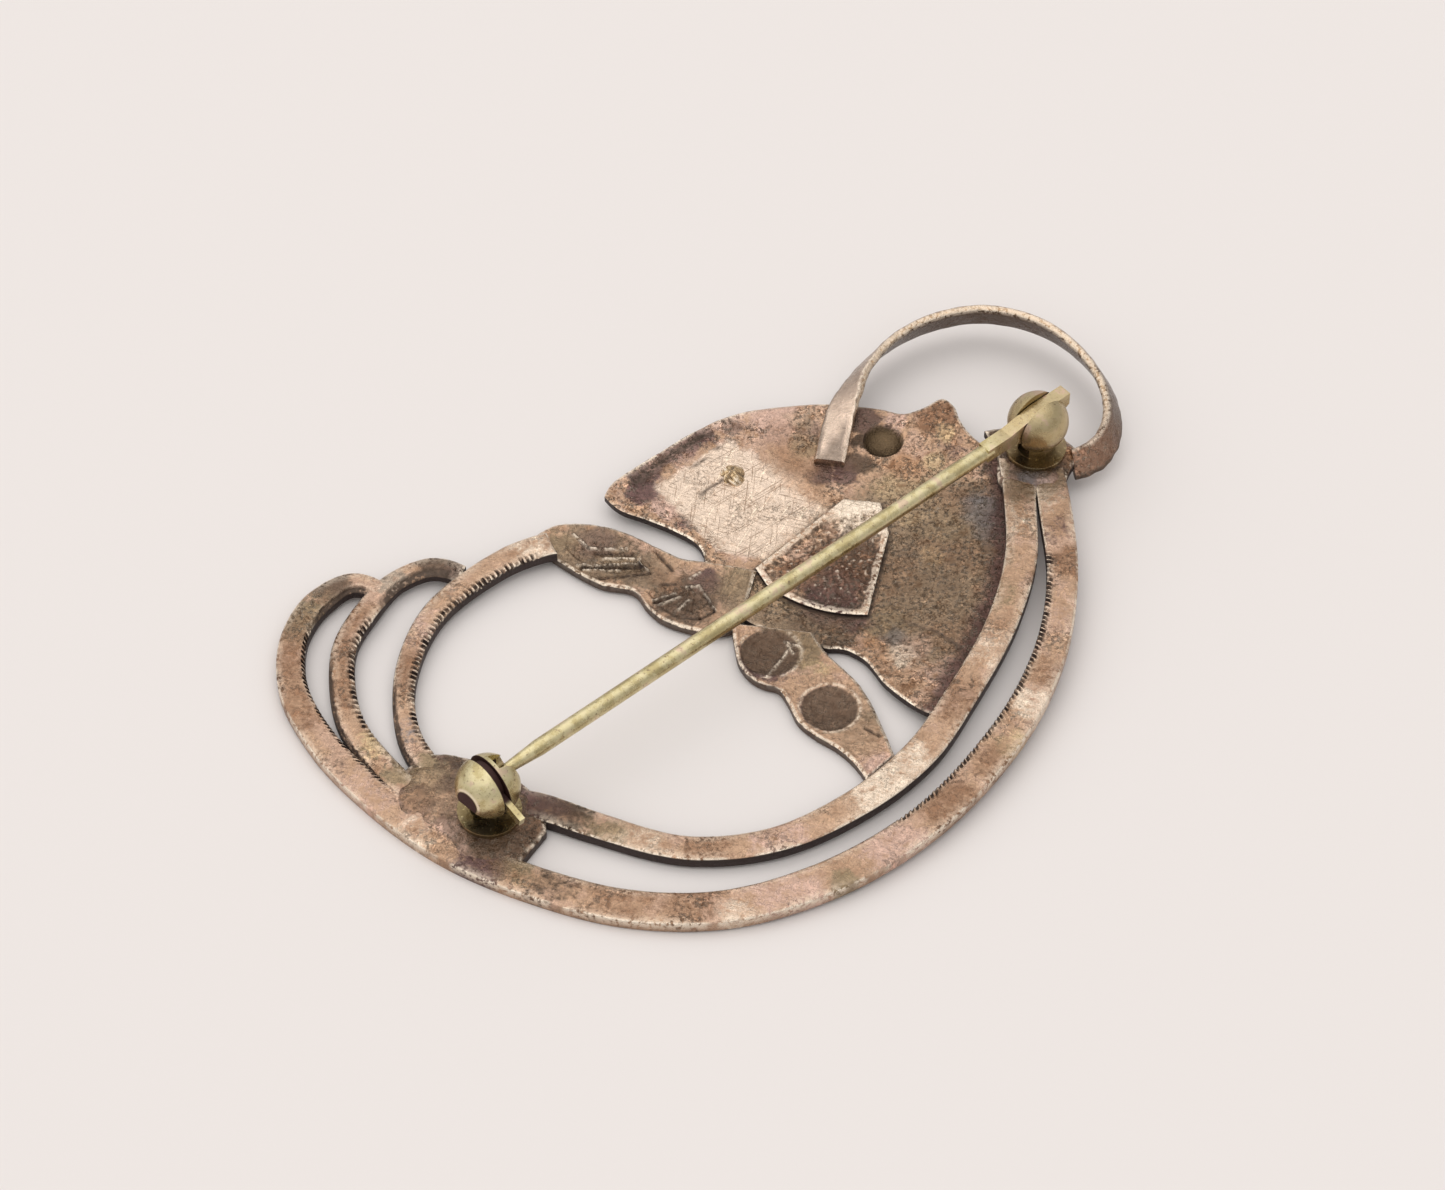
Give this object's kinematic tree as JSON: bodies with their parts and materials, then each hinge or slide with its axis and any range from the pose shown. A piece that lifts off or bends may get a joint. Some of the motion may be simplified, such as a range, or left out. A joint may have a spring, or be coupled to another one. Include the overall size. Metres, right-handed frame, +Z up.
{
  "type": "fish brooch",
  "caption": "Openwork fish brooch of soldered strip and dished sheet, lying face down, with a hinged pin, a ball joint and a locking catch on its back.",
  "frame": {"origin": "on the surface that the brooch lies on, under the middle of its outline", "axes": "+X to the right of the picture, from the tail loops to the curl; +Y away from the camera, towards the curl; +Z up, out of the brooch's back"},
  "size_m": [0.056, 0.0528, 0.0073],
  "materials": {
    "silver": "worn satin silver with warm tarnish",
    "brass": "dull, greenish gold"
  },
  "bodies": {
    "brooch": {"silver_fish": "silver", "joint": "brass", "hinge_rivet": "brass", "catch": "brass"},
    "pin": {"pin_stem": "brass"},
    "lever": {"catch_lever": "brass"}
  },
  "joints": [
    {"name": "pin_swing", "type": "hinge", "parent": "brooch", "child": "pin", "pos_m": [0.02191, 0.01266, 0.00533], "axis": [-0.6517, 0.7584, 0.0087], "range_deg": [0, 78]},
    {"name": "lever_turn", "type": "hinge", "parent": "brooch", "child": "lever", "pos_m": [-0.0138, -0.01802, 0.00439], "axis": [0.7583, 0.6512, 0.0295], "range_deg": [-120, 0]}
  ]
}
